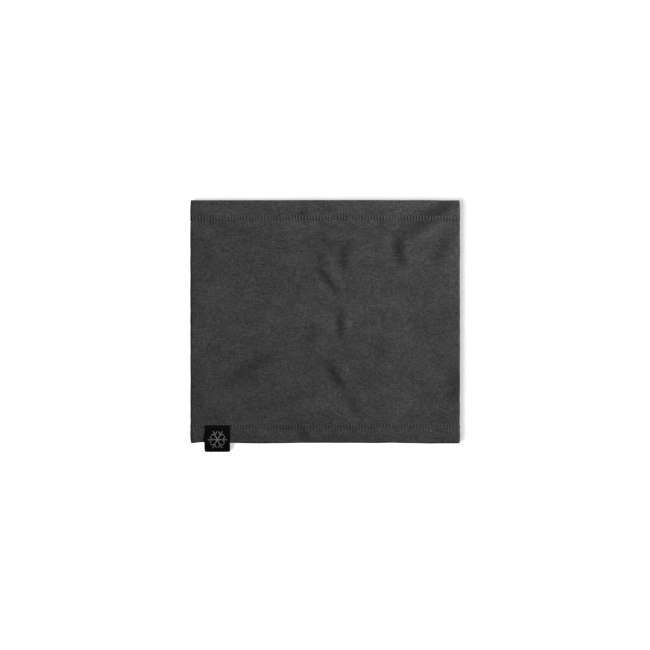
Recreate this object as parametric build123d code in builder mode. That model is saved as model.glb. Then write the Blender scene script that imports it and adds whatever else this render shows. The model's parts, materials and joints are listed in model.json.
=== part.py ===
from build123d import *
from math import cos, degrees, radians, sin
import os

# A fleece neck gaiter lying flat: a short cloth tube with both edges turned in and sewn,
# closed by a seam at its back, with a small folded label caught at its lower hem.
#
# Millimetres. X runs across the flat tube, +Y is the tube's axis and points to the upper hem,
# +Z points out of the front layer. The origin is the middle of the tube, on its axis, halfway
# between the front and the back layer.
#
# The tube opens along six fold lines parallel to Y, so its cloth is cut there into strips:
# three across the front layer and, with the closing seam, four across the back layer.
# The two side folds turn about the outer skin, and the four soft folds about the inner face
# of the hems, so that the strips only ever part as the tube opens.

# the tube
FLAT_WIDTH = 250.0
TUBE_HEIGHT = 225.0
CLOTH = 1.5
PLY_GAP = 0.1  # between the cloth and its own turned-in hem
LIP_GAP = 0.8  # between the front and the back hem
HEM_DEPTH = 20.0  # cloth turned to the inside
CENTRE_WIDTH = 84.0  # between the two soft folds of a layer
FOLD_SLIT = 0.2  # between neighbouring strips

# the ladder rows that hold the hems, and the seam at the back
UPPER_ROW = 17.0  # from the upper edge to the middle of its row
LOWER_ROW = 15.6  # from the lower edge to the middle of its row
STITCH_PITCH = 2.8
STITCH_LENGTH = 5.0
THREAD_WIDTH = 0.5
THREAD_HEIGHT = 0.3
GROOVE_WIDTH = 5.6  # the row pulls the pile down into a shallow groove
GROOVE_DEPTH = 0.36
THREAD_SINK = 0.02  # top of the thread below the cloth's outer face

# the folded label at the lower hem
LABEL_WIDTH = 24.2
LABEL_INSET = 13.2  # from the left side fold
LABEL_RISE = 15.4  # above the lower edge
LABEL_DROP = 8.6  # below the lower edge
LABEL_PLY = 0.4
LABEL_SLIT = 0.1
LABEL_CORNER = 1.5
SEWN_EDGE = 1.6  # band at the top that the tacking holds down
SURFACE_GAP = 0.1  # between things that lie on one another

# the motif woven into the label: a plain six-armed snow star
STAR_ARM = 8.2
STAR_BRANCH = 3.3
STAR_BRANCH_AT = 4.6
YARN_WIDTH = 0.9
YARN_HEIGHT = 0.1
YARN_GAP = 0.02

# tacking stitches on both labels
TACK_LENGTH = 2.0
TACK_PITCH = 2.8
TACK_WIDTH = 0.36
TACK_HEIGHT = 0.2

# the care label, sewn inside at the back seam
CARE_LENGTH = 30.0  # along X, away from the seam
CARE_WIDTH = 28.0
CARE_THICKNESS = 0.6
CARE_MIDDLE_Y = -64.0
CARE_SEAM_GAP = 1.0

# worked out from the sizes above
STACK = 2 * CLOTH + PLY_GAP
HALF_THICKNESS = LIP_GAP / 2 + STACK
SIDE_FOLD_X = FLAT_WIDTH / 2
SOFT_FOLD_X = CENTRE_WIDTH / 2
BEND_X = SIDE_FOLD_X - HALF_THICKNESS  # where a layer starts to curl into its side fold
BEND_ARC = 88.0  # a little short of a quarter turn, to leave a slit at the side fold
EDGE_Y = TUBE_HEIGHT / 2
UPPER_ROW_Y = EDGE_Y - UPPER_ROW
LOWER_ROW_Y = LOWER_ROW - EDGE_Y
SEAM_REACH = GROOVE_WIDTH / 2 + 0.5  # half the width that the back seam takes from the hem rows

LABEL_LEFT = LABEL_INSET - SIDE_FOLD_X
LABEL_X = LABEL_LEFT + LABEL_WIDTH / 2
LABEL_TOP_Y = LABEL_RISE - EDGE_Y
LABEL_END_Y = -EDGE_Y - LABEL_DROP
LABEL_FLAP_Y = LABEL_TOP_Y - SEWN_EDGE  # the line that the free part of the label folds about
LABEL_THICKNESS = 2 * LABEL_PLY + LABEL_SLIT
LABEL_BASE_Z = HALF_THICKNESS + SURFACE_GAP
LABEL_FACE_Z = LABEL_BASE_Z + LABEL_THICKNESS

FRONT = 1
BACK = -1
LEFT = -1
RIGHT = 1

os.makedirs("parts", exist_ok=True)


def hand_over(builder, name):
    """Label a finished piece and write it."""
    builder.part.label = name
    export_step(builder.part, f"parts/{name}.step")


def draw_layer_section(layer):
    """One layer cut across its hems, in YZ: a ply of cloth with both of its edges turned in."""
    with Locations((0, layer * (LIP_GAP + STACK) / 2)):
        SlotOverall(TUBE_HEIGHT, STACK)
        Rectangle(TUBE_HEIGHT - 2 * CLOTH, PLY_GAP, mode=Mode.SUBTRACT)
    pocket = LIP_GAP / 2 + CLOTH + PLY_GAP
    with Locations((0, layer * pocket / 2)):
        Rectangle(TUBE_HEIGHT - 2 * HEM_DEPTH, pocket, mode=Mode.SUBTRACT)
    for row_y in (UPPER_ROW_Y, LOWER_ROW_Y):
        with Locations((row_y, layer * HALF_THICKNESS)):
            Rectangle(GROOVE_WIDTH, 2 * GROOVE_DEPTH, mode=Mode.SUBTRACT)


def cut_seam_groove(layer):
    """The closing seam lies in a groove down the middle of the layer's outer face."""
    with Locations((0, 0, layer * HALF_THICKNESS)):
        Box(GROOVE_WIDTH, 2 * TUBE_HEIGHT, 2 * GROOVE_DEPTH, mode=Mode.SUBTRACT)


def flat_strip(name, layer, x_low, x_high, has_seam=False):
    """A strip of the middle of a layer, flat from one fold to the next."""
    with BuildPart() as strip:
        with BuildSketch(Plane.YZ.offset(x_low)):
            draw_layer_section(layer)
        extrude(amount=x_high - x_low)
        if has_seam:
            cut_seam_groove(layer)
    hand_over(strip, name)


def side_strip(name, layer, side):
    """A strip from a soft fold to the side fold, where it curls through a quarter turn."""
    start = side * (SOFT_FOLD_X + FOLD_SLIT / 2)
    bend = side * BEND_X
    with BuildPart() as strip:
        with BuildSketch(Plane.YZ.offset(min(start, bend))):
            draw_layer_section(layer)
        extrude(amount=abs(bend - start))
        with BuildSketch(Plane.YZ.offset(bend)):
            draw_layer_section(layer)
        revolve(axis=Axis((bend, 0, 0), (0, side * layer, 0)), revolution_arc=BEND_ARC)
    hand_over(strip, name)


def on_outer_face(layer, side, along, y, depth):
    """The place `along` millimetres from the middle line, `depth` under the outer face."""
    radius = HALF_THICKNESS - depth
    if along <= BEND_X:
        return Location((side * along, y, layer * radius))
    turn = (along - BEND_X) / HALF_THICKNESS
    x = side * (BEND_X + radius * sin(turn))
    z = layer * radius * cos(turn)
    return Location((x, y, z), (0, side * layer * degrees(turn), 0))


def row_places(layer, side, low, high, y):
    """Where the stitches of a hem row lie, between two distances from the middle line."""
    depth = THREAD_SINK + THREAD_HEIGHT / 2
    count = int(high / STITCH_PITCH) + 1
    middles = [(index + 0.5) * STITCH_PITCH for index in range(count)]
    kept = [middle for middle in middles if low < middle < high]
    return [on_outer_face(layer, side, middle, y, depth) for middle in kept]


def hem_thread(name, places):
    """Upright stitches of a hem row, each sunk just below the pile."""
    with BuildPart() as thread:
        with Locations(*places):
            Box(THREAD_WIDTH, STITCH_LENGTH, THREAD_HEIGHT)
    hand_over(thread, name)


def tacking(name, x, y, z, count, turned=False):
    """A short line of tacking stitches on a label, centred at (x, y), resting at height z."""
    length_x, length_y = (TACK_WIDTH, TACK_LENGTH) if turned else (TACK_LENGTH, TACK_WIDTH)
    count_x, count_y = (1, count) if turned else (count, 1)
    with BuildPart() as stitches:
        with Locations((x, y, z)):
            with GridLocations(TACK_PITCH, TACK_PITCH, count_x, count_y):
                Box(
                    length_x,
                    length_y,
                    TACK_HEIGHT,
                    align=(Align.CENTER, Align.CENTER, Align.MIN),
                )
    hand_over(stitches, name)


# ---- the cloth: strips between the fold lines

half_slit = FOLD_SLIT / 2
flat_strip("front_centre_cloth", FRONT, half_slit - SOFT_FOLD_X, SOFT_FOLD_X - half_slit)
flat_strip("back_centre_left_cloth", BACK, half_slit - SOFT_FOLD_X, -half_slit, has_seam=True)
flat_strip("back_centre_right_cloth", BACK, half_slit, SOFT_FOLD_X - half_slit, has_seam=True)
side_strip("front_left_cloth", FRONT, LEFT)
side_strip("front_right_cloth", FRONT, RIGHT)
side_strip("back_left_cloth", BACK, LEFT)
side_strip("back_right_cloth", BACK, RIGHT)

# ---- the hem threads, cut at the same fold lines

last_stitch = BEND_X + HALF_THICKNESS * radians(BEND_ARC) - THREAD_WIDTH
for edge, row_y in (("upper", UPPER_ROW_Y), ("lower", LOWER_ROW_Y)):
    centre = row_places(FRONT, LEFT, 0, SOFT_FOLD_X, row_y)
    centre += row_places(FRONT, RIGHT, 0, SOFT_FOLD_X, row_y)
    hem_thread(f"front_centre_{edge}_hem_thread", centre)
    for hand, side in (("left", LEFT), ("right", RIGHT)):
        behind = row_places(BACK, side, SEAM_REACH, SOFT_FOLD_X, row_y)
        hem_thread(f"back_centre_{hand}_{edge}_hem_thread", behind)
        for face, layer in (("front", FRONT), ("back", BACK)):
            outer = row_places(layer, side, SOFT_FOLD_X, last_stitch, row_y)
            hem_thread(f"{face}_{hand}_{edge}_hem_thread", outer)

# ---- the closing seam at the back: stitches lie across the line where the panel's ends meet

with BuildPart() as seam:
    seam_z = THREAD_SINK + THREAD_HEIGHT / 2 - HALF_THICKNESS
    seam_count = 2 * int((EDGE_Y - STACK / 2) / STITCH_PITCH)
    with Locations((0, 0, seam_z)):
        with GridLocations(STITCH_PITCH, STITCH_PITCH, 1, seam_count):
            Box(STITCH_LENGTH, THREAD_WIDTH, THREAD_HEIGHT)
hand_over(seam, "back_seam_thread")

# ---- the folded label: a ribbon doubled at its lower end, free below its sewn edge

with BuildPart() as flap:
    flap_length = LABEL_FLAP_Y - LABEL_END_Y - SURFACE_GAP
    with BuildSketch(Plane.YZ.offset(LABEL_LEFT)) as doubled:
        with Locations((LABEL_END_Y + flap_length / 2, LABEL_BASE_Z + LABEL_THICKNESS / 2)):
            Rectangle(flap_length, LABEL_THICKNESS)
        fillet(doubled.vertices().sort_by(Axis.X)[:2], radius=LABEL_PLY)
        with Locations((LABEL_END_Y + LABEL_PLY, LABEL_BASE_Z + LABEL_THICKNESS / 2)):
            Rectangle(
                flap_length,
                LABEL_SLIT,
                align=(Align.MIN, Align.CENTER),
                mode=Mode.SUBTRACT,
            )
    extrude(amount=LABEL_WIDTH)
    with BuildSketch(Plane.XY.offset(LABEL_BASE_Z)) as outline:
        with Locations((LABEL_X, LABEL_END_Y + flap_length / 2)):
            Rectangle(LABEL_WIDTH, flap_length)
        fillet(outline.vertices().sort_by(Axis.Y)[:2], radius=LABEL_CORNER)
    extrude(amount=LABEL_THICKNESS, mode=Mode.INTERSECT)
hand_over(flap, "label_ribbon")

with BuildPart() as sewn_edge:
    with BuildSketch(Plane.XY.offset(LABEL_BASE_Z)):
        with Locations((LABEL_X, LABEL_TOP_Y)):
            Rectangle(LABEL_WIDTH, SEWN_EDGE - SURFACE_GAP, align=(Align.CENTER, Align.MAX))
    extrude(amount=LABEL_THICKNESS)
hand_over(sewn_edge, "label_sewn_edge")

with BuildPart() as motif:
    with BuildSketch(Plane.XY.offset(LABEL_FACE_Z + YARN_GAP)):
        with Locations((LABEL_X, (LABEL_FLAP_Y + LABEL_END_Y) / 2)):
            with PolarLocations(0, 6):
                Rectangle(STAR_ARM, YARN_WIDTH, align=(Align.MIN, Align.CENTER))
            with PolarLocations(STAR_BRANCH_AT, 6):
                for lean in (-60, 60):
                    Rectangle(
                        STAR_BRANCH,
                        YARN_WIDTH,
                        rotation=lean,
                        align=(Align.MIN, Align.CENTER),
                    )
    extrude(amount=YARN_HEIGHT)
hand_over(motif, "label_snow_star")

tack_z = LABEL_FACE_Z + YARN_GAP
tack_y = LABEL_TOP_Y - SEWN_EDGE / 2
tacking("label_tacking", LABEL_X, tack_y, tack_z, int(LABEL_WIDTH / TACK_PITCH))

# ---- the care label inside, lying on the back layer beside the seam

care_z = CLOTH + SURFACE_GAP - HALF_THICKNESS
with BuildPart() as care_label:
    with BuildSketch(Plane.XY.offset(care_z)):
        with Locations((-CARE_SEAM_GAP, CARE_MIDDLE_Y)):
            Rectangle(CARE_LENGTH, CARE_WIDTH, align=(Align.MAX, Align.CENTER))
    extrude(amount=CARE_THICKNESS)
hand_over(care_label, "care_label")

care_tack_x = -CARE_SEAM_GAP - 2 * TACK_WIDTH
care_face_z = care_z + CARE_THICKNESS + YARN_GAP
care_tacks = int(CARE_WIDTH / TACK_PITCH) - 1
tacking("care_label_tacking", care_tack_x, CARE_MIDDLE_Y, care_face_z, care_tacks, turned=True)
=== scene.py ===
import json
import math

import bpy
import numpy as np
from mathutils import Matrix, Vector


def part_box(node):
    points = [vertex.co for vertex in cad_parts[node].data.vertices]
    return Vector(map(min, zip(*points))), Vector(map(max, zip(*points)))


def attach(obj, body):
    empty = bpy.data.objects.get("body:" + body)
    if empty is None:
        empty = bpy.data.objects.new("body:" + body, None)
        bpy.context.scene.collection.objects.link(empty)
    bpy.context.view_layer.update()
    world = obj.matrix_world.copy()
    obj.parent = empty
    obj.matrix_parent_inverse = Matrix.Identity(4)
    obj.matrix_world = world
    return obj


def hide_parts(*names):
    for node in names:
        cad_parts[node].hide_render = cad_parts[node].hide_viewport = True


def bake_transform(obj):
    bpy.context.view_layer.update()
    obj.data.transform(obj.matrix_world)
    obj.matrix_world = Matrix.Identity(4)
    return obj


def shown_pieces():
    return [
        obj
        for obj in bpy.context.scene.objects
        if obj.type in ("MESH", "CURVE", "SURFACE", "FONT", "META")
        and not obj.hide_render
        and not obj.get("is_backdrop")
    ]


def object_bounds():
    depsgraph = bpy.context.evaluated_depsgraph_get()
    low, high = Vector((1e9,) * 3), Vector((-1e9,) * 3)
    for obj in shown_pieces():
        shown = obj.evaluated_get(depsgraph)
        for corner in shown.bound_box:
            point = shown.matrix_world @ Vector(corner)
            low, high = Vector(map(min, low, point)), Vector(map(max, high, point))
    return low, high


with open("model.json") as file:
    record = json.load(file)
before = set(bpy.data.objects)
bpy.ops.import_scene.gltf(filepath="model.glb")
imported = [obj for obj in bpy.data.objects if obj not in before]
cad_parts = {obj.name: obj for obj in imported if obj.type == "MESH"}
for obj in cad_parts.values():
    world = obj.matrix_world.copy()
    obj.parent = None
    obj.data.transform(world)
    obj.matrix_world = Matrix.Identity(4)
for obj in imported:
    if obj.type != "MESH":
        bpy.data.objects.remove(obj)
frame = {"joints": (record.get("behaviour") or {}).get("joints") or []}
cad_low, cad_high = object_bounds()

# Sizes are in millimetres throughout and become metres where a mesh is made.
MM = 0.001

# ------------------------ sizes from the frame

joints = {joint["name"]: joint for joint in frame["joints"]}


def box_mm(node):
    """Lowest and highest corner of a CAD node."""
    low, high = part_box(node)
    return np.array(low) / MM, np.array(high) / MM


centre_low, centre_high = box_mm("front_centre_cloth")
HALF = centre_high[2]  # half the thickness of the flat tube
STACK = HALF - centre_low[2]  # a hem: the cloth and its turned-in edge
EDGE_Y = centre_high[1]
SIDE_X = joints["side_fold_right"]["pos_m"][0] / MM
SOFT_X = joints["front_fold_right"]["pos_m"][0] / MM
upper_low, upper_high = box_mm("front_centre_upper_hem_thread")
lower_low, lower_high = box_mm("front_centre_lower_hem_thread")
UPPER_ROW_Y = (upper_low[1] + upper_high[1]) / 2
LOWER_ROW_Y = (lower_low[1] + lower_high[1]) / 2
STITCH_LENGTH = upper_high[1] - upper_low[1]
ribbon_low, ribbon_high = box_mm("label_ribbon")
_, sewn_high = box_mm("label_sewn_edge")
star_low, star_high = box_mm("label_snow_star")
label_tack_low, label_tack_high = box_mm("label_tacking")
care_low, care_high = box_mm("care_label")

CLOTH = 1.5  # thickness of one layer
HEM_DEPTH = 20.0
RAW_Y = EDGE_Y - HEM_DEPTH  # where a turned-in edge ends
BEND_X = SIDE_X - HALF  # where a layer starts to curl into its side fold
QUARTER = BEND_X + HALF * math.pi / 2  # along the skin, from the middle line to a side fold
AROUND = 4 * QUARTER
HEM_RADIUS = STACK / 2
RUNG_SPACING = 2.8  # wished for between two rungs of the hem stitches
RUNGS_AROUND = round(AROUND / RUNG_SPACING)
PITCH = AROUND / RUNGS_AROUND
BORDER_X = (SOFT_X + SIDE_X) / 2  # half way between a soft fold and its side fold

FRONT, BACK = 1, -1

# ------------------------ small numeric helpers


def smooth(low, high, value):
    """0 below low, 1 above high, with a soft step between."""
    t = np.clip((value - low) / (high - low), 0, 1)
    return t * t * (3 - 2 * t)


def hump(value, width):
    """A bell: 1 at zero, about a third at the width."""
    return np.exp(-((value / width) ** 2))


NOISE_CELLS = 97  # noise repeats after this many cells
NOISE_START = 50  # the cell that y = 0 lies in, so that few places fall past the repeat


def noise(x, y, cell_x, cell_y, seed, around=NOISE_CELLS):
    """Smooth noise between -1 and 1 with the given cell sizes, repeating after `around` cells in x."""
    grid = np.random.default_rng(seed).uniform(-1, 1, (around, NOISE_CELLS))
    gx, gy = x / cell_x, y / cell_y + NOISE_START
    ix, iy = np.floor(gx).astype(int), np.floor(gy).astype(int)
    fx, fy = gx - ix, gy - iy
    fx, fy = fx * fx * (3 - 2 * fx), fy * fy * (3 - 2 * fy)
    here_x, next_x = ix % around, (ix + 1) % around
    here_y, next_y = iy % NOISE_CELLS, (iy + 1) % NOISE_CELLS
    low = grid[here_x, here_y] * (1 - fx) + grid[next_x, here_y] * fx
    high = grid[here_x, next_y] * (1 - fx) + grid[next_x, next_y] * fx
    return low * (1 - fy) + high * fy


def tube_noise(s, y, cell_s, cell_y, seed):
    """Noise that closes up round the tube."""
    cells = round(AROUND / cell_s)
    return noise(s, y, AROUND / cells, cell_y, seed, cells)


def ring_quads(index):
    """The quads of a grid of vertex numbers whose last direction closes up on itself."""
    following = np.roll(index, -1, axis=-1)
    here, after = index[..., :-1, :], index[..., 1:, :]
    here_next, after_next = following[..., :-1, :], following[..., 1:, :]
    return np.stack((here, here_next, after_next, after), -1).reshape(-1, 4)


# ------------------------ places round the tube

# A place on the cloth is s, the distance round the tube from the back seam going left, and y.


def where_around(s):
    """(layer, q) of s: the layer, and the signed distance along it from the middle line."""
    s = np.asarray(s, float) % AROUND
    front = (s > QUARTER) & (s < 3 * QUARTER)
    layer = np.where(front, FRONT, BACK)
    q = np.where(front, s - 2 * QUARTER, np.where(s <= QUARTER, -s, AROUND - s))
    return layer, q


# ------------------------ how the cloth lies


def add_mesh(name, points, faces):
    """A new mesh object in the scene, with its points in metres."""
    mesh = bpy.data.meshes.new(name)
    mesh.from_pydata(points, [], faces)
    made = bpy.data.objects.new(name, mesh)
    bpy.context.scene.collection.objects.link(made)
    return made


def add_square(name, reach, z):
    """A level square at height z that reaches this far each way."""
    corners = ((-reach, -reach, z), (reach, -reach, z), (reach, reach, z), (-reach, reach, z))
    return add_mesh(name, corners, [(0, 1, 2, 3)])


SAG_LIMIT = 3.1  # the front layer comes to rest on the back after this much
SAG_REACH_Y = RAW_Y + 3  # it sags from just past the turned-in edges
SAG_X = np.linspace(-BEND_X, BEND_X, 61)
SAG_Y = np.linspace(-SAG_REACH_Y, SAG_REACH_Y, 47)
SHEET_SCALE = 10 * MM  # the sheet is simulated ten times its size, where collision distances fit
SETTLE_FRAMES = 22


def crumpled_sheet():
    """The front layer before it settles: held at its edges, a little crumpled to have cloth to spare."""
    gx, gy = np.meshgrid(SAG_X, SAG_Y, indexing="ij")
    inside = (1 - (gx / SAG_X[-1]) ** 2) * (1 - (gy / SAG_Y[-1]) ** 2)
    crumple = 2.2 * noise(gx, gy, 34, 28, 5) + 1.3 * noise(gx, gy, 17, 20, 8)
    start = np.sqrt(np.clip(inside, 0, 1)) * crumple
    points = np.stack([gx, gy, start], -1).reshape(-1, 3) * SHEET_SCALE
    index = np.arange(gx.size).reshape(gx.shape)
    corners = (index[:-1, :-1], index[1:, :-1], index[1:, 1:], index[:-1, 1:])
    faces = np.stack(corners, -1).reshape(-1, 4)
    sheet = add_mesh("settling", points.tolist(), faces.tolist())
    held = np.concatenate([index[0], index[-1], index[:, 0], index[:, -1]])
    sheet.vertex_groups.new(name="held").add([int(i) for i in held], 1.0, "REPLACE")
    return sheet


def settle_front_layer():
    """Cloth simulation of the front layer between its hems and side folds, sinking onto the back.

    Returns its height over the grid of SAG_X and SAG_Y."""
    sheet = crumpled_sheet()
    bed = add_square("bed", 2 * SIDE_X * SHEET_SCALE, -SAG_LIMIT * SHEET_SCALE)
    bed.modifiers.new("hit", "COLLISION")
    bed.collision.thickness_outer = 0.002
    cloth = sheet.modifiers.new("cloth", "CLOTH")
    settings = cloth.settings
    settings.quality = 6
    settings.mass = 0.3
    settings.tension_stiffness = 12
    settings.compression_stiffness = 12
    settings.shear_stiffness = 6
    settings.bending_stiffness = 6
    settings.air_damping = 2
    settings.vertex_group_mass = "held"
    cloth.collision_settings.distance_min = 0.004
    cloth.collision_settings.use_self_collision = False
    cloth.point_cache.frame_start, cloth.point_cache.frame_end = 1, SETTLE_FRAMES
    scene = bpy.context.scene
    for step in range(1, SETTLE_FRAMES + 1):
        scene.frame_set(step)
    settled = sheet.evaluated_get(bpy.context.evaluated_depsgraph_get()).data
    flat = np.empty(len(settled.vertices) * 3, np.float32)
    settled.vertices.foreach_get("co", flat)
    height = flat.reshape(len(SAG_X), len(SAG_Y), 3)[..., 2].astype(float) / SHEET_SCALE
    bpy.data.objects.remove(sheet)
    bpy.data.objects.remove(bed)
    scene.frame_set(1)
    for _ in range(2):  # take out the grid's own ripple
        padded = np.pad(height, 1, mode="edge")
        sides = padded[:-2, 1:-1] + padded[2:, 1:-1] + padded[1:-1, :-2] + padded[1:-1, 2:]
        height = 0.5 * height + 0.125 * sides
    return height


SAG = settle_front_layer()


def catmull_rom(f):
    """Weights of the four grid points around a place, a share f of the way past the second."""
    return (
        -0.5 * f + f**2 - 0.5 * f**3,
        1 - 2.5 * f**2 + 1.5 * f**3,
        0.5 * f + 2 * f**2 - 1.5 * f**3,
        -0.5 * f**2 + 0.5 * f**3,
    )


def sag_at(x, y):
    """Smooth reading of the settled height, zero outside its grid."""
    gx = (x - SAG_X[0]) / (SAG_X[1] - SAG_X[0])
    gy = (y - SAG_Y[0]) / (SAG_Y[1] - SAG_Y[0])
    ix = np.clip(np.floor(gx).astype(int), 0, len(SAG_X) - 2)
    iy = np.clip(np.floor(gy).astype(int), 0, len(SAG_Y) - 2)
    padded = np.pad(SAG, 1, mode="edge")
    total = 0
    for i, wx in enumerate(catmull_rom(np.clip(gx - ix, 0, 1))):
        for j, wy in enumerate(catmull_rom(np.clip(gy - iy, 0, 1))):
            total = total + wx * wy * padded[ix + i, iy + j]
    outside = (gx < 0) | (gy < 0) | (gx > len(SAG_X) - 1) | (gy > len(SAG_Y) - 1)
    return np.where(outside, 0, total)


# Soft creases in the front layer: each is a curve from one end to the other, pulled towards the
# point in the middle, then its height, its width and how dark the painted shade in its bottom is,
# against the painted shade of a stitch channel. The main ones come down from the upper right corner
# and from the upper hem, and fade out in the lower half.
CREASES = (
    ((126, 118), (102, 99), (62, 71), 1.4, 6.4, 1.1),
    ((86, 90), (56, 76), (75, 46), 1.6, 6.4, 0.8),
    ((120, 86), (108, 67), (98, 50), 1.1, 7.0, 0.56),
    ((50, 104), (53, 94), (51, 84), 0.5, 5.8, 0.29),
    ((28, 73), (8, 60), (23, 47), 1.4, 6.1, 0.8),
    ((-8, 82), (2, 74), (8, 66), 0.5, 5.1, 0.29),
    ((-9, 51), (2, 42), (14, 20), 1.2, 5.0, 0.6),
    ((17, 13), (11, 0), (16, -19), 1.25, 5.1, 0.7),
    ((1, -34), (8, -50), (20, -67), 1.2, 6.1, 0.69),
    ((18, -62), (26, -76), (30, -90), 0.6, 5.8, 0.35),
    ((-9, 69), (-3, 56), (0, 42), 0.6, 5.4, 0.35),
    ((-8, -2), (-15, -12), (-19, -29), 0.6, 6.7, 0.35),
    ((-97, -62), (-68, -40), (-38, -28), 1.0, 6.7, 0.58),
    ((-94, -86), (-40, -77), (-14, -60), 0.6, 8.6, 0.35),
    ((-23, 105), (-19, 98), (-21, 89), 0.9, 6.1, 0.52),
    ((-23, -92), (-20, -102), (-20, -112), 0.9, 6.4, 0.52),
    ((-104, 68), (-113, 58), (-107, 46), 0.5, 8.6, 0.29),
    ((48, -16), (53, -26), (44, -36), 0.5, 8.6, 0.29),
    ((122, -34), (117, -56), (122, -78), 1.1, 6.4, 0.63),
    ((-118, 99), (-104, 92), (-84, 84), 0.5, 5.8, 0.29),
)
CREASE_STEPS = 14


def along_curve(x, y, first, middle, last):
    """Signed distance of places from a curve, positive on its left hand, and the share along it."""
    t = np.linspace(0, 1, CREASE_STEPS + 1)[:, None]
    curve = (1 - t) ** 2 * np.array(first) + 2 * t * (1 - t) * np.array(middle) + t**2 * np.array(last)
    nearest = np.full_like(x, 1e9)
    along = np.zeros_like(x)
    for step, (a, b) in enumerate(zip(curve[:-1], curve[1:])):
        dx, dy = b - a
        share = np.clip(((x - a[0]) * dx + (y - a[1]) * dy) / (dx * dx + dy * dy), 0, 1)
        off_x, off_y = x - a[0] - share * dx, y - a[1] - share * dy
        distance = np.hypot(off_x, off_y) * np.sign(dx * off_y - dy * off_x)
        closer = np.abs(distance) < np.abs(nearest)
        nearest = np.where(closer, distance, nearest)
        along = np.where(closer, (step + share) / CREASE_STEPS, along)
    return nearest, along


def creases(x, y):
    """Height of the cloth's creases, how dark the painted shade in their bottom is and how far up a
    ridge a place is, for a painted highlight there.

    Followed from its first end, a crease dips on its right hand and rises into a ridge on its left."""
    height, core, ridge = np.zeros_like(x), np.zeros_like(x), np.zeros_like(x)
    for first, middle, last, tall, width, dark in CREASES:
        nearest, along = along_curve(x, y, first, middle, last)
        fade = np.sin(np.pi * along) ** 0.8
        across = nearest / width
        bell = np.exp(-(across**2))
        height += tall * fade * bell * (across - 0.15)
        core = np.maximum(core, dark * fade * bell)
        ridge = np.maximum(ridge, min(1.0, 0.6 * tall) * fade * hump(across - 1.7, 0.9))
    return height, np.minimum(core, 1), ridge


def hem_zone(y):
    """1 on the doubled hems, 0 on the single cloth between them."""
    return smooth(RAW_Y - 9, RAW_Y + 1, np.abs(y))


def row_y(s, upper):
    """Height of a row of hem stitches, which wanders a little."""
    wander = 0.9 * tube_noise(s, 0 * s, 40, 1, 81 if upper else 82)
    wander += 0.2 * tube_noise(s, 0 * s, 11, 1, 83 if upper else 84)
    return (UPPER_ROW_Y if upper else LOWER_ROW_Y) + wander


def from_row(s, y):
    """Height above the nearer row of hem stitches."""
    return y - np.where(y > 0, row_y(s, True), row_y(s, False))


def between_rungs(along):
    """0 under a rung of a ladder of stitches, 1 half way between two."""
    return 0.5 - 0.5 * np.cos(2 * np.pi * along / PITCH)


def trough(distance):
    """1 in the channel that a ladder of stitches spans, 0 beside it."""
    half = STITCH_LENGTH / 2
    return smooth(half + 0.9, half - 0.7, np.abs(distance))


def seam_trough(s, y):
    """The same for the seam down the middle of the back."""
    q = np.minimum(s % AROUND, AROUND - s % AROUND)
    return trough(q) * smooth(EDGE_Y - 1, EDGE_Y - 3, np.abs(y))


def channels(s, y):
    """Depth of the stitch channels and, between 0 and 1, how much painted shade their bottom gets."""
    rungs = between_rungs(s)
    rows = trough(from_row(s, y)) * np.where(y > 0, 1.0, 0.7)
    uneven = 0.75 + 0.4 * tube_noise(s, y, 7, 60, 85)
    deep = rows * uneven * (0.16 + 0.2 * rungs)
    seam_rungs = between_rungs(y)
    seam = seam_trough(s, y)
    deep = np.maximum(deep, seam * (0.34 + 0.36 * seam_rungs))
    # painted shade between the rungs of the hem rows and of the back seam, where their channels lie in
    # shadow
    painted_shade = np.maximum(rows * uneven * 0.38 * rungs, seam * (0.1 + 0.9 * seam_rungs))
    return deep, np.clip(painted_shade, 0, 1)


def broad_lift(s, y):
    """Outward shift of the cloth's skin without the stitch channels."""
    layer, q = where_around(s)
    flat = smooth(0, 16, BEND_X - np.abs(q))
    single = 1 - hem_zone(y)
    open_x = smooth(0, 46, BEND_X - np.abs(q))
    open_y = smooth(0, 34, RAW_Y + 1 - np.abs(y))
    crease, _, _ = creases(q, y)
    front = sag_at(q, y) * open_x * open_y + crease * flat
    back = -0.25 * flat * single * (1 + tube_noise(s, y, 40, 34, 3))
    shift = np.where(layer == FRONT, front, back)
    # the stitches draw the cloth up into ripples that fade away from the row
    row = from_row(s, y)
    ripple = tube_noise(s, y, 8.5, 26, 20) + 0.6 * tube_noise(s, y, 4.6, 18, 21)
    shift += 0.17 * ripple * np.exp(-np.abs(row) / 9) * smooth(0.4, 3.0, np.abs(row))
    # the turned-in edge puffs up between the stitches and the hem's fold
    outward = np.where(y > 0, row, -row)
    shift += 0.24 * hump(outward - 8.0, 5.0) - 0.1 * hump(outward + 5.0, 3.0)
    return shift


def lift(s, y):
    """Outward shift of the cloth's skin."""
    deep, _ = channels(s, y)
    grain = 0.1 * tube_noise(s, y, 5.5, 5.5, 22) + 0.045 * tube_noise(s, y, 2.1, 2.1, 23)
    return broad_lift(s, y) + grain - deep


def slide_y(s, y):
    """How far the hem's outline wanders up or down, fading into the cloth."""
    layer, q = where_around(s)
    top = -0.3 + 0.35 * tube_noise(s, 0 * s, 42, 1, 60) + 0.12 * tube_noise(s, 0 * s, 13, 1, 61)
    bottom = -0.25 + 0.3 * tube_noise(s, 0 * s, 38, 1, 62) + 0.1 * tube_noise(s, 0 * s, 12, 1, 63)
    pulled = hump(q - ribbon_low[0] + 2.5, 5.5)  # the label pulls the hem up at its corner
    bottom = bottom + pulled * np.where(layer == FRONT, 0.95, 0.6)
    return smooth(EDGE_Y - 34, EDGE_Y - 2, y) * top + smooth(EDGE_Y - 34, EDGE_Y - 2, -y) * bottom


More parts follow.
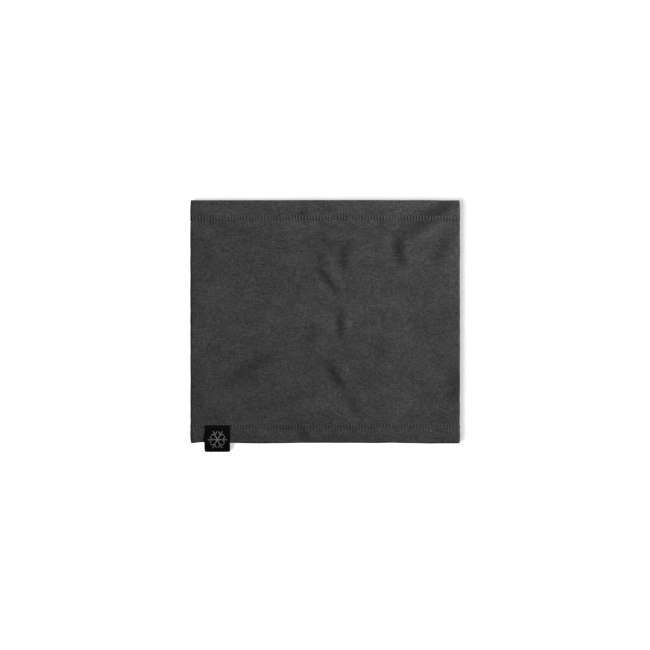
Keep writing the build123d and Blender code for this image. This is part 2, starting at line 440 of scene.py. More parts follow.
def slide_x(side, y):
    """How far a side fold wanders in from its straight line."""
    corner = 0.3 * hump(EDGE_Y - np.abs(y), 3.0)
    wander = 0.24 * (1 + noise(y, 0 * y, 33, 1, 72 + side))
    fine = 0.1 * noise(y, 0 * y, 9, 1, 75 + side)
    return -side * (corner + wander * (1.0 if side < 0 else 0.1) + fine)


FOLD_SQUEEZE = 0.65  # share of the cloth's thickness that a side fold presses out
FOLD_SQUARE = 0.62  # below 1, a side fold is squarer than a half circle


def on_skin(s, y, depth, raised=None):
    """The point at s and y, `depth` under the cloth's skin. `raised` replaces the skin's own lift."""
    s, y, depth = (np.asarray(v, float) for v in (s, y, depth))
    s, y, depth = np.broadcast_arrays(s, y, depth)
    layer, q = where_around(s)
    side = np.where(q < 0, -1.0, 1.0)
    along = np.abs(q)
    turn = np.clip((along - BEND_X) / HALF, 0, math.pi / 2)
    pressed = depth * (1 - FOLD_SQUEEZE * smooth(0.1, math.pi / 2, turn))
    if raised is None:
        raised = lift(s, y)
    radius = HALF - pressed + raised
    x = side * (np.minimum(along, BEND_X) + radius * np.sin(turn) ** FOLD_SQUARE)
    z = layer * radius * np.cos(turn) ** FOLD_SQUARE
    drawn_in = np.where(side < 0, slide_x(-1, y), slide_x(1, y))
    x = x + drawn_in * smooth(BEND_X - 30, SIDE_X, np.abs(x))
    return np.stack([x, y + slide_y(s, y), z], -1)


def skin_normal(s, y):
    """Outward normal of the smooth skin, without its fine relief."""
    step = 0.4

    def skin(s, y):
        return on_skin(s, y, 0, broad_lift(s, y))

    normal = np.cross(skin(s + step, y) - skin(s - step, y), skin(s, y + step) - skin(s, y - step))
    return normal / np.linalg.norm(normal, axis=-1, keepdims=True)


# ------------------------ meshes


def new_object(name, points, faces, material):
    """A smooth piece of the object, from points in millimetres."""
    made = add_mesh(name, (np.asarray(points).reshape(-1, 3) * MM).tolist(), faces)
    made.data.materials.append(material)
    made.data.polygons.foreach_set("use_smooth", [True] * len(made.data.polygons))
    return made


def set_uv(mesh, places):
    """Gives every corner its vertex's place, in millimetres, as texture coordinates.

    Returns the vertex of each corner."""
    loops = np.empty(len(mesh.loops), np.int32)
    mesh.loops.foreach_get("vertex_index", loops)
    layer = mesh.uv_layers.new(name="place")
    layer.data.foreach_set("uv", places.reshape(-1, 2)[loops].astype(np.float32).ravel())
    return loops


PLY_RELIEF = 0.13  # how much a thread's two plies show, as a share of its radius
THREAD_TAPER = 0.45  # a thread's ends dive into the cloth, this much narrower


def strands(paths, ups, width, height, sides=7, lay=1.1):
    """Points and faces of closed two-ply threads along paths of shape (count, length, 3).

    `ups` point out of the cloth, and `lay` is the length of one turn of the plies."""
    tangent = np.gradient(paths, axis=1)
    tangent /= np.linalg.norm(tangent, axis=-1, keepdims=True)
    across = np.cross(tangent, ups)
    across /= np.linalg.norm(across, axis=-1, keepdims=True)
    above = np.cross(across, tangent)
    run = np.linalg.norm(np.diff(paths, axis=1), axis=-1).cumsum(1)
    run = np.concatenate([np.zeros((len(paths), 1)), run], 1)
    angle = np.linspace(0, 2 * np.pi, sides, endpoint=False)
    twist = 1 + PLY_RELIEF * np.cos(2 * angle[None, None, :] + 2 * np.pi * run[..., None] / lay)
    taper = np.ones(paths.shape[1])
    taper[[0, -1]] = THREAD_TAPER
    ring_x = 0.5 * width * np.cos(angle) * twist * taper[None, :, None]
    ring_z = 0.5 * height * np.sin(angle) * twist * taper[None, :, None]
    sideways = ring_x[..., None] * across[:, :, None]
    points = paths[:, :, None] + sideways + ring_z[..., None] * above[:, :, None]
    count, length = paths.shape[:2]
    index = np.arange(count * length * sides).reshape(count, length, sides)
    caps = np.concatenate([index[:, 0], index[:, -1, ::-1]]).tolist()
    return points.reshape(-1, 3), ring_quads(index)[:, ::-1].tolist() + caps


def joined(parts):
    """One list of points and one of faces from several."""
    points, faces, offset = [], [], 0
    for some_points, some_faces in parts:
        points.append(some_points)
        faces += [[i + offset for i in face] for face in some_faces]
        offset += len(some_points)
    return np.concatenate(points), faces


# ------------------------ materials


WAVES_PER_UNIT = math.pi / 10  # the scale at which a wave texture makes one wave per unit


class Surface:
    """A procedural material under construction, with noise measured in millimetres."""

    def __init__(self, name, rough, specular=0.3, sheen=0.0, source="place"):
        self.material = bpy.data.materials.new(name)
        self.material.use_nodes = True
        self.nodes, self.links = self.material.node_tree.nodes, self.material.node_tree.links
        self.shader = self.nodes["Principled BSDF"]
        self.shader.inputs["Roughness"].default_value = rough
        self.shader.inputs["Specular IOR Level"].default_value = specular
        self.shader.inputs["Sheen Weight"].default_value = sheen
        self.shader.inputs["Sheen Roughness"].default_value = 0.5
        if source == "object":
            self.place = self.node("ShaderNodeTexCoord").outputs["Object"]
            self.unit = 1 / MM
        else:
            node = self.node("ShaderNodeUVMap")
            node.uv_map = source
            self.place = node.outputs[0]
            self.unit = 1.0

    def node(self, kind):
        return self.nodes.new(kind)

    def mapped(self, cell, shift=0.0):
        mapping = self.node("ShaderNodeMapping")
        mapping.inputs["Location"].default_value = (shift, 0.7 * shift, 0.3 * shift)
        mapping.inputs["Scale"].default_value = tuple(self.unit / size for size in cell)
        self.links.new(self.place, mapping.inputs[0])
        return mapping.outputs[0]

    def noise(self, cell, detail, rough=0.6, shift=0.0, warp=0.0):
        """Noise whose cells measure cell millimetres in each direction."""
        texture = self.node("ShaderNodeTexNoise")
        texture.inputs["Scale"].default_value = 1.0
        texture.inputs["Detail"].default_value = detail
        texture.inputs["Roughness"].default_value = rough
        texture.inputs["Distortion"].default_value = warp
        self.links.new(self.mapped(cell, shift), texture.inputs["Vector"])
        return texture.outputs["Fac"]

    def waves(self, cell, axis):
        """Parallel waves, one every cell millimetres along the axis."""
        texture = self.node("ShaderNodeTexWave")
        texture.bands_direction = axis
        texture.inputs["Scale"].default_value = WAVES_PER_UNIT
        self.links.new(self.mapped((cell, cell, cell)), texture.inputs["Vector"])
        return texture.outputs["Fac"]

    def attribute(self, name):
        node = self.node("ShaderNodeAttribute")
        node.attribute_name = name
        return node.outputs["Fac"]

    def ramp(self, source, *stops):
        """A colour ramp through (position, grey or colour) stops."""
        node = self.node("ShaderNodeValToRGB")
        elements = node.color_ramp.elements
        while len(elements) < len(stops):
            elements.new(0.5)
        for element, (at, value) in zip(elements, stops):
            element.position = at
            element.color = (value, value, value, 1) if np.isscalar(value) else (*value, 1)
        self.links.new(source, node.inputs[0])
        return node.outputs[0]

    def times(self, a, b):
        """The product of two colours."""
        node = self.node("ShaderNodeMix")
        node.data_type = "RGBA"
        node.blend_type = "MULTIPLY"
        node.inputs[0].default_value = 1.0
        self.links.new(a, node.inputs[6])
        self.links.new(b, node.inputs[7])
        return node.outputs[2]

    def colour(self, source):
        self.links.new(source, self.shader.inputs["Base Color"])

    def roughness(self, source):
        self.links.new(source, self.shader.inputs["Roughness"])

    def bumps(self, *layers):
        """Bump from (height source, strength, distance in millimetres) layers."""
        last = None
        for source, strength, distance in layers:
            bump = self.node("ShaderNodeBump")
            bump.inputs["Strength"].default_value = strength
            bump.inputs["Distance"].default_value = distance * MM
            self.links.new(source, bump.inputs["Height"])
            if last is not None:
                self.links.new(last, bump.inputs["Normal"])
            last = bump.outputs[0]
        self.links.new(last, self.shader.inputs["Normal"])


LEVEL_SHADE = 0.2  # the cloth's painted shade away from creases; ridges have less, a painted highlight, and hollows up to 1


def fleece_surface():
    """Dark grey heather fleece: short fibres of several greys, drawn out a little sideways, with painted
    shade in the stitch channels and crease bottoms and a painted highlight on crease ridges.
    """
    make = Surface("fleece", rough=0.95, specular=0.1, sheen=0.04)
    fibres = make.noise((1.4, 0.72, 1), 3, 0.66, warp=0.4)
    flecks = make.noise((2.6, 1.5, 1), 2, 0.6, shift=31, warp=0.6)
    mottle = make.noise((7.5, 5.0, 1), 2, 0.5, shift=57)
    patches = make.noise((24, 15, 1), 2, 0.5, shift=71)
    drift = make.noise((60, 50, 1), 1, 0.5, shift=83)
    tone = make.ramp(fibres, (0.25, 0.020), (0.44, 0.034), (0.56, 0.046), (0.76, 0.082))
    tone = make.times(tone, make.ramp(flecks, (0.3, 0.68), (0.5, 1.0), (0.7, 1.34)))
    tone = make.times(tone, make.ramp(mottle, (0.32, 0.91), (0.68, 1.09)))
    tone = make.times(tone, make.ramp(patches, (0.35, 0.91), (0.65, 1.09)))
    tone = make.times(tone, make.ramp(drift, (0.35, 0.95), (0.65, 1.05)))
    # painted shade from the stitch channels and crease bottoms darkens the colour down to half; a
    # painted highlight on crease ridges lightens it by a quarter
    tone = make.times(tone, make.ramp(make.attribute("painted_shade"), (0, 1.25), (LEVEL_SHADE, 1.0), (1, 0.5)))
    make.colour(tone)
    pile = make.noise((0.9, 0.7, 1), 3, 0.7, shift=11)
    make.bumps((pile, 0.6, 0.25), (flecks, 0.5, 0.4))
    return make.material


def thread_surface(name, dark, light, specular=0.35, rough=0.6):
    """Spun polyester thread: two greys in fine twisted streaks."""
    make = Surface(name, rough=rough, specular=specular, sheen=0.1, source="object")
    fuzz = make.noise((0.5, 0.5, 0.5), 2)
    slow = make.noise((7, 7, 7), 1, shift=5)
    tone = make.ramp(fuzz, (0.3, dark), (0.7, light))
    make.colour(make.times(tone, make.ramp(slow, (0.3, 0.82), (0.7, 1.18))))
    make.bumps((make.noise((0.18, 0.18, 0.18), 2), 0.4, 0.05))
    return make.material


def ribbon_surface(name, dark, light, rib, rough, specular):
    """A woven ribbon: fine ribs across it, finer warp threads along it."""
    make = Surface(name, rough=rough, specular=specular)
    across = make.waves(rib, "Y")
    along = make.waves(rib * 0.7, "X")
    worn = make.noise((6, 3, 1), 3, 0.6)
    tone = make.times(make.ramp(across, (0, dark), (1, light)), make.ramp(along, (0, 0.8), (1, 1.15)))
    make.colour(make.times(tone, make.ramp(worn, (0.3, 0.8), (0.7, 1.2))))
    make.roughness(make.ramp(worn, (0.3, rough - 0.08), (0.7, rough + 0.08)))
    make.bumps((along, 0.35, 0.04), (across, 0.6, 0.06))
    return make.material


FLEECE = fleece_surface()
HEM_THREAD = thread_surface("hem thread", 0.036, 0.066, specular=0.2)
SEAM_THREAD = thread_surface("seam thread", 0.030, 0.055, specular=0.2)
LABEL_WEAVE = ribbon_surface("label weave", 0.0018, 0.0045, 0.36, 0.85, 0.03)
LABEL_YARN = thread_surface("label yarn", 0.075, 0.16, specular=0.2)
TACKING_THREAD = thread_surface("tacking thread", 0.003, 0.007, specular=0.1)
CARE_SATIN = ribbon_surface("care satin", (0.62, 0.61, 0.58), (0.72, 0.71, 0.68), 0.22, 0.42, 0.5)

# ------------------------ the cloth's section


def spaced(start, stop, step):
    """Even places from start to stop, about a step apart."""
    count = max(2, int(round(abs(stop - start) / step)) + 1)
    return np.linspace(start, stop, count)


# How far apart the points of the cloth's outline are, by place.
HEM_STEP, BODY_STEP, INSIDE_STEP, TURNED_STEP, EDGE_STEP = 0.6, 1.25, 2.4, 1.6, 0.55


def section():
    """The closed outline of the cloth cut along the tube, as (y, depth), starting inside."""
    fold = EDGE_Y - HEM_RADIUS
    fine = RAW_Y - 6.5
    runs = []

    def add(y, depth):
        y, depth = np.broadcast_arrays(np.asarray(y, float), np.asarray(depth, float))
        runs.append(np.stack([y, depth], -1)[:-1])

    turn = np.linspace(-math.pi / 2, math.pi / 2, 11)
    add(spaced(-RAW_Y, RAW_Y, INSIDE_STEP), CLOTH)
    add(RAW_Y, spaced(CLOTH, STACK, EDGE_STEP))
    add(spaced(RAW_Y, fold, TURNED_STEP), STACK)
    add(fold + HEM_RADIUS * np.cos(turn), HEM_RADIUS - HEM_RADIUS * np.sin(turn))
    add(spaced(fold, fine, HEM_STEP), 0)
    add(spaced(fine, -fine, BODY_STEP), 0)
    add(spaced(-fine, -fold, HEM_STEP), 0)
    add(-fold - HEM_RADIUS * np.cos(turn), HEM_RADIUS + HEM_RADIUS * np.sin(turn))
    add(spaced(-fold, -RAW_Y, TURNED_STEP), STACK)
    add(-RAW_Y, spaced(STACK, CLOTH, EDGE_STEP))
    return np.concatenate(runs)


SECTION = section()
SECTION_RUN = np.concatenate([[0], np.cumsum(np.hypot(*np.diff(SECTION, axis=0).T))])
TONGUE = np.array([0.05, 0.9, 1.8])  # steps by which a piece of cloth runs on under its neighbours
TONGUE_INSET = 0.05  # how far under their surface it runs


def grid_normals(points):
    """Smooth normals of a grid of points, open in its first direction and closed in its second."""
    du = np.gradient(points, axis=0)
    dv = np.roll(points, -1, axis=1) - np.roll(points, 1, axis=1)
    normals = np.cross(dv, du)
    return normals / np.linalg.norm(normals, axis=-1, keepdims=True)


def painted_cloth_shade(s, y, depth):
    """Painted shade on the cloth's outside, from 0 on a crease's ridge, which gets a painted highlight,
    to 1 in the deepest hollow of a stitch channel or crease.
    """
    _, painted_shade = channels(s, y)
    layer, q = where_around(s)
    _, core, ridge = creases(q, y)
    on_front = layer == FRONT
    # painted shade in crease bottoms, and a painted highlight up the ridges beside them
    painted_shade = np.maximum(painted_shade, core * on_front)
    painted_shade = LEVEL_SHADE * (1 - ridge * on_front * (1 - painted_shade)) + (1 - LEVEL_SHADE) * painted_shade
    return np.where(depth < CLOTH / 2, painted_shade, LEVEL_SHADE)


def cloth_patch(name, s_low, s_high):
    """A closed piece of the tube's cloth between two places round it."""
    section_y, section_depth = SECTION[None, :, 0], SECTION[None, :, 1]
    between = spaced(s_low, s_high, PITCH / 4)
    stations = np.concatenate([s_low - TONGUE[::-1], between, s_high + TONGUE])
    # one more station at each end gives the ends their slope
    wide = np.concatenate([stations[:1] - 0.5, stations, stations[-1:] + 0.5])[:, None]
    points = on_skin(wide, section_y, section_depth)
    normals = grid_normals(points)[1:-1]
    points = points[1:-1]
    for tongue in (slice(None, len(TONGUE)), slice(-len(TONGUE), None)):
        tucked_y = section_y * (1 - TONGUE_INSET / EDGE_Y)
        tucked_depth = TONGUE_INSET + 0.95 * section_depth
        points[tongue] = on_skin(stations[tongue, None], tucked_y, tucked_depth)
    shape = points.shape[:2]
    index = np.arange(shape[0] * shape[1]).reshape(shape)
    quads = ring_quads(index).tolist()
    caps = [index[0][::-1].tolist(), index[-1].tolist()]
    made = new_object(name, points, quads + caps, FLEECE)
    mesh = made.data
    s, y, depth, run = np.broadcast_arrays(stations[:, None], section_y, section_depth, SECTION_RUN)
    loops = set_uv(mesh, np.stack([s, run], -1))
    # painted shade of the stitch channels and creases, with a painted highlight on crease ridges, for
    # the fleece's colour
    painted_shade = mesh.attributes.new("painted_shade", "FLOAT", "POINT")
    painted_shade.data.foreach_set("value", painted_cloth_shade(s, y, depth).astype(np.float32).ravel())
    facing = normals.reshape(-1, 3)[loops]
    for cap in mesh.polygons[len(quads) :]:
        facing[cap.loop_start : cap.loop_start + cap.loop_total] = np.array(cap.normal)
    mesh.normals_split_custom_set(facing.tolist())
    return made


# ------------------------ the cloth, in eight pieces

# Each piece holds one fold or a side of it.
PATCHES = (
    ("back_inner_left", 0, BORDER_X),
    ("back_outer_left", BORDER_X, QUARTER),
    ("front_outer_left", QUARTER, 2 * QUARTER - BORDER_X),
    ("front_inner_left", 2 * QUARTER - BORDER_X, 2 * QUARTER),
    ("front_inner_right", 2 * QUARTER, 2 * QUARTER + BORDER_X),
    ("front_outer_right", 2 * QUARTER + BORDER_X, 3 * QUARTER),
    ("back_outer_right", 3 * QUARTER, 4 * QUARTER - BORDER_X),
    ("back_inner_right", 4 * QUARTER - BORDER_X, 4 * QUARTER),
)


def bend(piece):
    """Bakes a piece's placement into its mesh."""
    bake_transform(piece)


def cad_strip(patch):
    """The name of the CAD strip that a patch stands for."""
    face, place, hand = patch.split("_")
    if place == "outer":
        return f"{face}_{hand}"
    return "front_centre" if face == "front" else f"back_centre_{hand}"


for patch, s_low, s_high in PATCHES:
    piece = cloth_patch(f"fleece_{patch}", s_low, s_high)
    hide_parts(f"{cad_strip(patch)}_cloth")
    bend(piece)

# ------------------------ hem stitches

RUNG_ARCH = 0.1  # how far a rung stands over the skin beside its channel
SEAM_ARCH = 0.02  # the same for the seam's rungs, which are pulled tighter
RUNG_DIVE = 0.75  # how deep a rung's ends go into the cloth
RUNG_T = np.linspace(-1, 1, 13)  # places along a rung
STRAND_WIDTH, STRAND_HEIGHT, STRAND_APART = 0.5, 0.36, 0.52
COVER_WIDTH, COVER_HEIGHT = 0.34, 0.26  # of the finer thread inside


def numbers_between(low, high, step):
    """The whole numbers from low / step up to high / step, as a column."""
    return np.arange(math.ceil(low / step), math.ceil(high / step))[:, None]


def double_rungs(place, arch):
    """Rungs of two strands side by side. place(spread) gives s and y of a strand that far off."""
    paths, ups = [], []
    for strand in (-0.5, 0.5):
        s, y = place(strand * STRAND_APART * (1 - 0.35 * RUNG_T**2))
        above = arch - RUNG_DIVE * np.abs(RUNG_T) ** 7
        paths.append(on_skin(s, y, 0, broad_lift(s, y) + above))
        ups.append(skin_normal(s, y))
    return strands(np.concatenate(paths), np.concatenate(ups), STRAND_WIDTH, STRAND_HEIGHT)


def cover_stitches(s, y, depth):
    """The finer thread on the inside of the cloth, along paths of s, y and depth."""
    return strands(on_skin(s, y, depth), -skin_normal(s, y), COVER_WIDTH, COVER_HEIGHT, sides=6)


def ladder(s_low, s_high, upper):
    """The rungs of a hem row on the outside of the cloth."""
    number = numbers_between(s_low, s_high, PITCH)
    random = np.random.default_rng(101 if upper else 102)
    jitter = random.uniform(-1, 1, (RUNGS_AROUND + 1, 3))[number[:, 0] % (RUNGS_AROUND + 1)]
    half = STITCH_LENGTH / 2 + 0.55 + 0.25 * jitter[:, 2:]

    def place(spread):
        s = number * PITCH + 0.16 * jitter[:, :1] + 0.2 * jitter[:, 1:2] * RUNG_T + spread
        return s, row_y(s, upper) + RUNG_T * half

    return double_rungs(place, RUNG_ARCH)


def overlock(s_low, s_high, upper):
    """The zigzag inside the hem that holds its raw edge down, seen when the tube is open."""
    half_pitch = PITCH / 2
    number = numbers_between(s_low, s_high, half_pitch)
    way = np.where(number % 2 == 0, 1, -1)
    t = np.linspace(-1, 1, 15)
    s = np.clip((number + 0.5 + 0.5 * way * t) * half_pitch, s_low, s_high)
    across = 0.5 + 0.5 * t  # 0 on the single cloth, 1 on the turned-in edge
    from_edge = -1.3 + across * 4.6
    on_ply = smooth(-0.35, 0.25, from_edge)
    depth = CLOTH + (STACK - CLOTH) * on_ply + 0.1 - 0.35 * np.abs(t) ** 9
    y = (RAW_Y + from_edge) * (1 if upper else -1)
    return cover_stitches(*np.broadcast_arrays(s, y, depth))


for patch, s_low, s_high in PATCHES:
    rows = [make(s_low, s_high, upper) for make in (ladder, overlock) for upper in (True, False)]
    points, faces = joined(rows)
    piece = new_object(f"hem_stitches_{patch}", points, faces, HEM_THREAD)
    strip = cad_strip(patch)
    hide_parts(f"{strip}_upper_hem_thread", f"{strip}_lower_hem_thread")
    bend(piece)

# ------------------------ back seam


def seam_ladder():
    """The rungs that join the cloth's two ends down the middle of the back, on the outside."""
    reach = EDGE_Y - 2.5
    number = numbers_between(-reach, reach, PITCH)
    jitter = np.random.default_rng(103).uniform(-1, 1, (len(number), 2))

    def place(spread):
        y = number * PITCH + 0.15 * jitter[:, :1] + 0.15 * jitter[:, 1:] * RUNG_T + spread
        return RUNG_T * (STITCH_LENGTH / 2 + 0.2) + 0 * y, y

    return double_rungs(place, SEAM_ARCH)


def seam_cover():
    """The zigzag over the same seam inside the tube."""
    reach = EDGE_Y - 4
    half_pitch = PITCH / 2
    number = numbers_between(-reach, reach - half_pitch, half_pitch)
    way = np.where(number % 2 == 0, 1, -1)
    t = np.linspace(-1, 1, 11)
    y = (number + 0.5 + 0.5 * t) * half_pitch
    on_ply = smooth(RAW_Y - 0.3, RAW_Y + 0.3, np.abs(y))
    depth = CLOTH + (STACK - CLOTH) * on_ply + 0.1
    return cover_stitches(way * t * 2.6, y, depth)


points, faces = joined([seam_ladder(), seam_cover()])
seam = new_object("back_seam_stitches", points, faces, SEAM_THREAD)
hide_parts("back_seam_thread")
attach(seam, "back_centre_left")

# ------------------------ labels


def folded_ribbon(name, long, wide, ply, slit, corner, place, material, slot):
    """A ribbon doubled at one end.

    `long` runs from the sewn edge to the fold and `wide` across. place(u, v, w) puts the point
    at u along it, v across it and height w over its underside into the frame."""
    columns = np.linspace(-wide / 2, wide / 2, 31)
    cut = np.clip(np.abs(columns) - (wide / 2 - corner), 0, corner)
    ends = long - (corner - np.sqrt(corner**2 - cut**2))  # the fold's corners are rounded
    full = 2 * ply + slit
    middle = full / 2

    def path(inset):
        """Points (share of the length, distance past it, height) a given way inside the surface."""
        # the first third is finer, because the label bends there
        straight = np.concatenate([np.linspace(0, 0.35, 36)[:-1], np.linspace(0.35, 1, 42)])
        radius = middle - inset
        turn = np.linspace(math.pi / 2, -math.pi / 2, 9)[1:-1]
        top = [(t, 0, full - inset) for t in straight]
        nose = [(1, radius * math.cos(a), middle + radius * math.sin(a)) for a in turn]
        under = [(t, 0, inset) for t in straight[::-1]]
        return np.array(top + nose + under)

    outer, inner = path(0), path(ply)
    rings = []
    for line in (outer, inner):
        u = line[None, :, 0] * (ends[:, None] - middle) + line[None, :, 1]
        v = np.broadcast_to(columns[:, None], u.shape)
        w = np.broadcast_to(line[None, :, 2], u.shape)
        rings.append(np.stack([u, v, w], -1))
    local = np.concatenate([rings[0], rings[1][:, ::-1]], 1)
    count, around = local.shape[:2]
    index = np.arange(count * around).reshape(count, around)
    quads = ring_quads(index).tolist()
    half = around // 2
    for edge, flip in ((index[0], True), (index[-1], False)):
        out, back = edge[:half], edge[half:][::-1]
        for a, b, c, d in zip(out[:-1], out[1:], back[1:], back[:-1]):
            quad = [int(a), int(b), int(c), int(d)]
            quads.append(quad[::-1] if flip else quad)
    made = new_object(name, place(local[..., 0], local[..., 1], local[..., 2]), quads, material)
    set_uv(made.data, local[..., [1, 0]] + local[..., 2:] * (0, 1))
    return made


LABEL_TOP_Y = sewn_high[1] + 1.1  # the cut edge stands a little past its sewn part
LABEL_LONG = LABEL_TOP_Y - ribbon_low[1]
LABEL_WIDE = ribbon_high[0] - ribbon_low[0]
LABEL_X = (ribbon_low[0] + ribbon_high[0]) / 2
LABEL_BASE_Z = ribbon_low[2]
LABEL_PLY, LABEL_SLIT, LABEL_CORNER = 0.4, 0.1, 1.5
LABEL_FACE = 2 * LABEL_PLY + LABEL_SLIT  # its face's height over its underside
LABEL_DROOP = 5.6


def label_rise(u, v):
    """How the label leaves its flat: a slight wave, and its free end sinks past the hem."""
    wave = 0.2 * (1 + noise(u, v, 9, 9, 91)) * smooth(2, 8, u)
    return wave - LABEL_DROOP * smooth(13, LABEL_LONG + 4, u)


def label_place(u, v, w):
    """The woven label lies on the front layer, pulled narrower and to the right at its sewn end."""
    narrower = 0.94 + 0.048 * smooth(4, 14, u)
    askew = 0.9 * smooth(20, 0, u)
    x = LABEL_X + v * narrower + askew + 0.12 * noise(u, v, 7, 40, 92)
    y = LABEL_TOP_Y - u
    z = LABEL_BASE_Z + w + label_rise(u, v)
    return np.stack([x, y, z], -1)


label_shape = (LABEL_LONG, LABEL_WIDE, LABEL_PLY, LABEL_SLIT, LABEL_CORNER)
label = folded_ribbon("woven_label_ribbon", *label_shape, label_place, LABEL_WEAVE, "label_weave")
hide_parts("label_ribbon", "label_sewn_edge")
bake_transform(label)


STAR_SPREAD = 1.12  # the yarn spreads a little past its CAD solid
STAR_UP = 0.5
YARN_WIDTH = 0.95


def yarn(start, direction, length):
    """One line of raised yarn on the label, a half-round rib rippled by its own stitches."""
    run = np.linspace(0, length, int(length / 0.12) + 2)
    lane = np.linspace(-1, 1, 9)
    ends = np.sqrt(np.clip(np.minimum(run, length - run) / 0.3, 0.02, 1))
    stitched = 0.85 + 0.15 * np.cos(2 * np.pi * run / 0.42)
    half = 0.5 * YARN_WIDTH * np.minimum(1, 0.55 + 0.45 * ends)
    u = start[0] + direction[0] * run[:, None] - direction[1] * lane * half[:, None]
    v = start[1] + direction[1] * run[:, None] + direction[0] * lane * half[:, None]
    bulge = np.sqrt(np.clip(1 - lane**2, 0, 1)) * (ends * stitched)[:, None]
    top = label_place(u, v, LABEL_FACE + 0.02 + 0.16 * bulge)
    under = label_place(u, v, LABEL_FACE - 0.06 + 0 * u)
    ring = np.concatenate([top, under[:, -2:0:-1]], 1)
    index = np.arange(ring.shape[0] * ring.shape[1]).reshape(ring.shape[:2])
    quads = ring_quads(index)[:, [0, 3, 2, 1]]
    caps = [index[0].tolist(), index[-1][::-1].tolist()]
    return ring.reshape(-1, 3), quads.tolist() + caps


def snow_star():
    """Six arms of yarn with two branches each, on the label's face."""
    centre_u = LABEL_TOP_Y - (star_low[1] + star_high[1]) / 2 - STAR_UP
    centre_v = (star_low[0] + star_high[0]) / 2 - LABEL_X
    centre = np.array([centre_u, centre_v])
    arm = STAR_SPREAD * (star_high[0] - star_low[0]) / 2
    branch, branch_at = 0.4 * arm, 0.56 * arm
    parts = []
    for k in range(6):
        angle = k * math.pi / 3 + math.pi / 2
        heading = np.array([math.cos(angle), math.sin(angle)])
        parts.append(yarn(centre - 0.1 * heading, heading, arm))
        for lean in (-math.pi / 3, math.pi / 3):
            off = np.array([math.cos(angle + lean), math.sin(angle + lean)])
            parts.append(yarn(centre + branch_at * heading, off, branch))
    return joined(parts)


points, faces = snow_star()
star = new_object("label_snow_star_yarn", points, faces, LABEL_YARN)
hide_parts("label_snow_star")
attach(star, "woven_label")


TACK_SPACING, TACK_LENGTH = 2.8, 2.0
TACK_WIDTH, TACK_HEIGHT, TACK_LAY = 0.36, 0.24, 0.8


def tacks(place, count, u, face):
    """A row of short stitches through a ribbon's sewn edge, in the middle of its width."""
    t = np.linspace(-1, 1, 11)
    number = np.arange(count)[:, None] - (count - 1) / 2
    v = number * TACK_SPACING + 0.5 * TACK_LENGTH * t
    w = face + 0.1 - 0.3 * np.abs(t) ** 5 + 0 * v
    paths = place(u + 0 * v, v, w)
    ups = np.broadcast_to((0.0, 0.0, 1.0), paths.shape)
    return strands(paths, ups, TACK_WIDTH, TACK_HEIGHT, sides=8, lay=TACK_LAY)


tack_u = LABEL_TOP_Y - (label_tack_low[1] + label_tack_high[1]) / 2
points, faces = tacks(label_place, 8, tack_u, LABEL_FACE)
tacking = new_object("label_tacking_stitches", points, faces, TACKING_THREAD)
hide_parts("label_tacking")
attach(tacking, "front_left")

CARE_LONG = care_high[0] - care_low[0]
CARE_WIDE = care_high[1] - care_low[1]
CARE_MIDDLE_Y = (care_low[1] + care_high[1]) / 2
CARE_PLY, CARE_SLIT, CARE_CORNER = 0.25, 0.1, 0.8
CARE_FACE = 2 * CARE_PLY + CARE_SLIT


def care_place(u, v, w):
    """The care label lies inside on the back layer, its fold pointing left."""
    x = care_high[0] - u
    y = CARE_MIDDLE_Y - v
    wave = 0.12 * noise(u, v, 10, 10, 94) * smooth(2, 10, u)
    z = care_low[2] + w + wave
    return np.stack([x, y, z], -1)


care_shape = (CARE_LONG, CARE_WIDE, CARE_PLY, CARE_SLIT, CARE_CORNER)
care = folded_ribbon("care_label_ribbon", *care_shape, care_place, CARE_SATIN, "care_satin")
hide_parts("care_label")
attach(care, "back_centre_left")
points, faces = tacks(care_place, 9, 0.8, CARE_FACE)
care_tacks = new_object("care_label_stitches", points, faces, TACKING_THREAD)
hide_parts("care_label_tacking")
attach(care_tacks, "back_centre_left")

# ------------------------ stage, light and camera

# The table glows, so that only deep shadows show on it. Between FAR_FROM and FAR_TO metres from the
# middle the glow grows, until the table is as white as the wall behind it.
TABLE_GLOW, FAR_GLOW = 0.53, 1.0
FAR_FROM, FAR_TO = 0.5, 2.0
TABLE_REACH = 6.0
WALL_WHITE = 1.0
SKY_LIGHT = 0.15  # what reaches the cloth from all round


def floor_material():
    """Pale and glowing from above, clear from below."""
    material = bpy.data.materials.new("pale floor")
    material.use_nodes = True
    nodes, links = material.node_tree.nodes, material.node_tree.links
    pale = nodes["Principled BSDF"]
    pale.inputs["Base Color"].default_value = (0.9, 0.9, 0.9, 1)
    pale.inputs["Roughness"].default_value = 0.9
    pale.inputs["Emission Color"].default_value = (1, 1, 1, 1)
    geometry = nodes.new("ShaderNodeNewGeometry")
    distance = nodes.new("ShaderNodeVectorMath")
    distance.operation = "LENGTH"
    glow = nodes.new("ShaderNodeMapRange")
    glow.inputs["From Min"].default_value = FAR_FROM
    glow.inputs["From Max"].default_value = FAR_TO
    glow.inputs["To Min"].default_value = TABLE_GLOW
    glow.inputs["To Max"].default_value = FAR_GLOW
    links.new(geometry.outputs["Position"], distance.inputs[0])
    links.new(distance.outputs["Value"], glow.inputs["Value"])
    links.new(glow.outputs["Result"], pale.inputs["Emission Strength"])
    clear = nodes.new("ShaderNodeBsdfTransparent")
    choose = nodes.new("ShaderNodeMixShader")
    links.new(geometry.outputs["Backfacing"], choose.inputs[0])
    links.new(pale.outputs[0], choose.inputs[1])
    links.new(clear.outputs[0], choose.inputs[2])
    links.new(choose.outputs[0], nodes["Material Output"].inputs["Surface"])
    return material


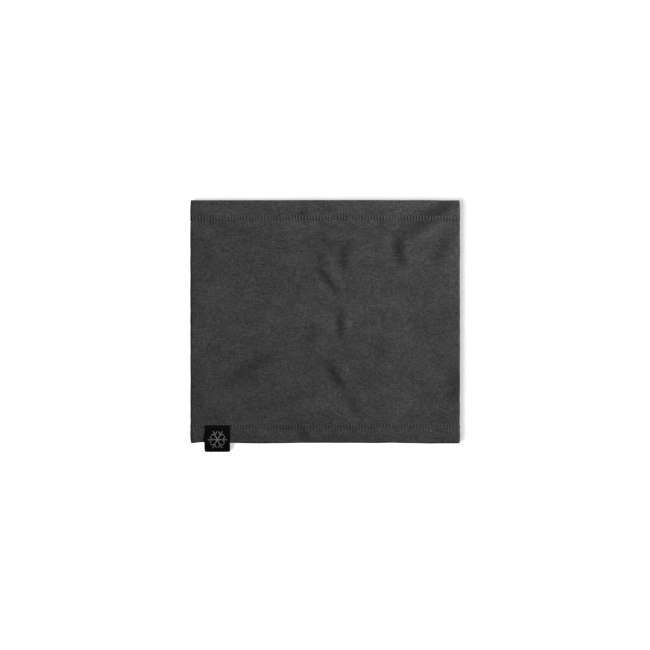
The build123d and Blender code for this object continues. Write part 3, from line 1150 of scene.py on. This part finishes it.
def floor():
    """The table, just under the lowest point of the fleece."""
    made = add_square("floor", TABLE_REACH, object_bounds()[0][2] - 0.05 * MM)
    made.data.materials.append(floor_material())
    made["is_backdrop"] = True
    return made


def area_light(name, place, size, power, lit):
    """A soft round light, aimed at the origin, for the given objects only."""
    light = bpy.data.lights.new(name, "AREA")
    light.shape = "DISK"
    light.size = size
    light.energy = power
    made = bpy.data.objects.new(name, light)
    made.location = place
    made.rotation_mode = "QUATERNION"
    made.rotation_quaternion = (-Vector(place)).to_track_quat("-Z", "Y")
    bpy.context.scene.collection.objects.link(made)
    receivers = bpy.data.collections.new(f"lit by {name}")
    for thing in lit:
        receivers.objects.link(thing)
    made.light_linking.receiver_collection = receivers


# The cloth is lit from the upper right, and its shadow on the table falls to the upper right as well.
table = floor()
area_light("key", place=(0.57, 0.54, 0.61), size=0.5, power=16.8, lit=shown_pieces())
area_light("table light", place=(-1.25, -0.6, 1.45), size=1.5, power=40.5, lit=[table])

world = bpy.data.worlds.new("studio")
world.use_nodes = True
world_nodes, world_links = world.node_tree.nodes, world.node_tree.links
world_nodes["Background"].inputs[0].default_value = (1, 1, 1, 1)
ray = world_nodes.new("ShaderNodeLightPath")
strength = world_nodes.new("ShaderNodeMapRange")
strength.inputs["To Min"].default_value = SKY_LIGHT
strength.inputs["To Max"].default_value = WALL_WHITE
world_links.new(ray.outputs["Is Camera Ray"], strength.inputs["Value"])
world_links.new(strength.outputs["Result"], world_nodes["Background"].inputs[1])
bpy.context.scene.world = world
bpy.context.scene.view_settings.view_transform = "Standard"

VIEW_WIDTH = 600.6  # what the picture spans at the cloth
LENS, SENSOR = 100.0, 36.0
AIM_UP = 0.9  # the camera points this far above the middle of the object
camera_data = bpy.data.cameras.new("camera")
camera_data.lens = LENS
camera_data.sensor_width = SENSOR
camera = bpy.data.objects.new("camera", camera_data)
middle_x = (cad_low[0] + cad_high[0]) / 2
middle_y = (cad_low[1] + cad_high[1]) / 2 + AIM_UP * MM
camera.location = (middle_x, middle_y, (VIEW_WIDTH * LENS / SENSOR + HALF) * MM)
bpy.context.scene.collection.objects.link(camera)
bpy.context.scene.camera = camera
